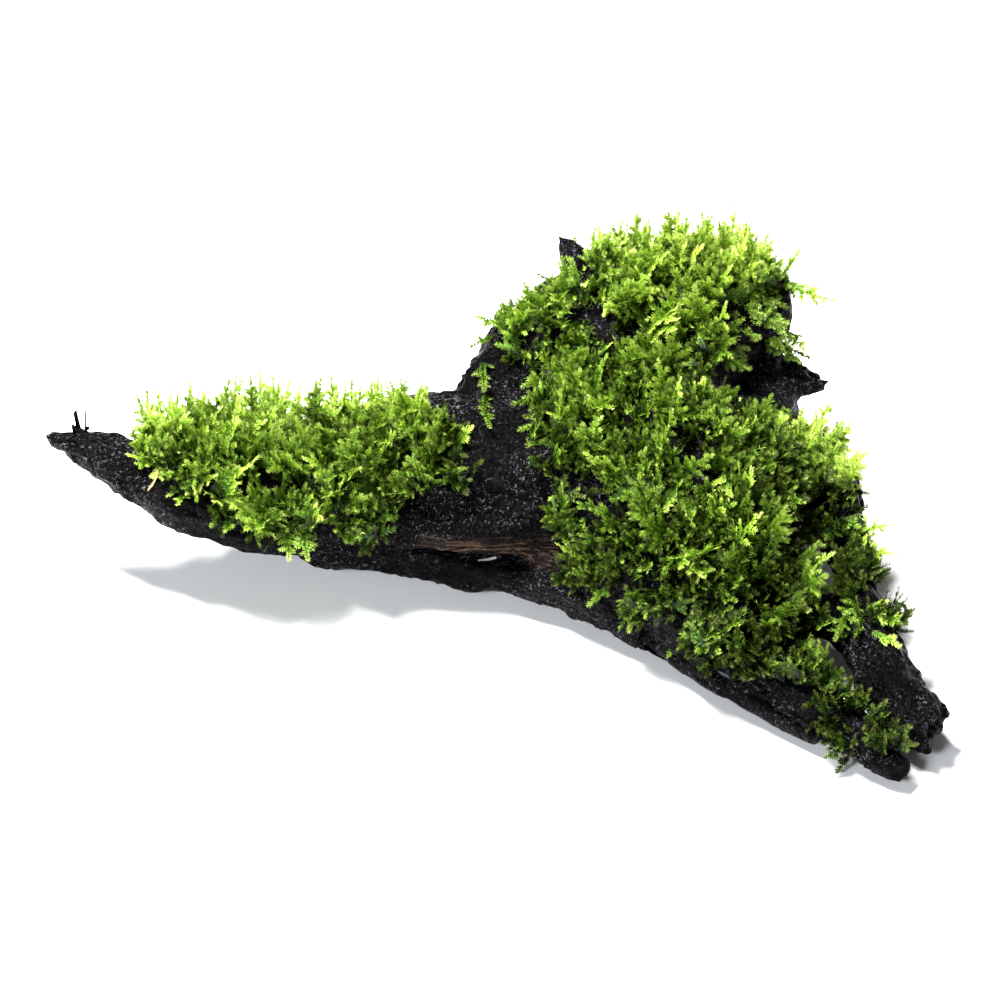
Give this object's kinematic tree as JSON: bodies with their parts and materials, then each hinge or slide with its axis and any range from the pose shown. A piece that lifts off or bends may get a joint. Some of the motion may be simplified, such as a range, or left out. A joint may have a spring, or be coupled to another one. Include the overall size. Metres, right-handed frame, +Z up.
{
  "type": "moss-covered driftwood",
  "caption": "Branching driftwood root with a long arm, a leaning crown and forked roots, covered with cushions of leafy moss to decorate a planted aquarium.",
  "frame": {"origin": "middle of the footprint, at the height of the underside", "axes": "+X from the long arm's tip towards the roots, +Y towards the back, +Z up"},
  "size_m": [0.2416, 0.1568, 0.0805],
  "materials": {
    "wet_wood_trunk": "wet, satin, nearly black",
    "wet_wood_left_arm": "wet, satin, nearly black",
    "wet_wood_crown": "wet, satin, nearly black",
    "wet_wood_outer_root": "wet, satin, nearly black",
    "wet_wood_inner_root": "wet, satin, nearly black",
    "wet_wood_front_sliver": "wet, satin, nearly black",
    "green_left_arm": "matt living moss",
    "green_crown": "matt living moss",
    "green_trunk": "matt living moss",
    "green_outer_root": "matt living moss",
    "green_inner_root": "matt living moss"
  },
  "bodies": {
    "root": {"driftwood_trunk": "wet_wood_trunk", "driftwood_left_arm": "wet_wood_left_arm", "driftwood_crown": "wet_wood_crown", "driftwood_outer_root": "wet_wood_outer_root", "driftwood_inner_root": "wet_wood_inner_root", "driftwood_front_sliver": "wet_wood_front_sliver", "moss_left_arm": "green_left_arm", "moss_crown": "green_crown", "moss_trunk": "green_trunk", "moss_outer_root": "green_outer_root", "moss_inner_root": "green_inner_root"}
  },
  "joints": []
}
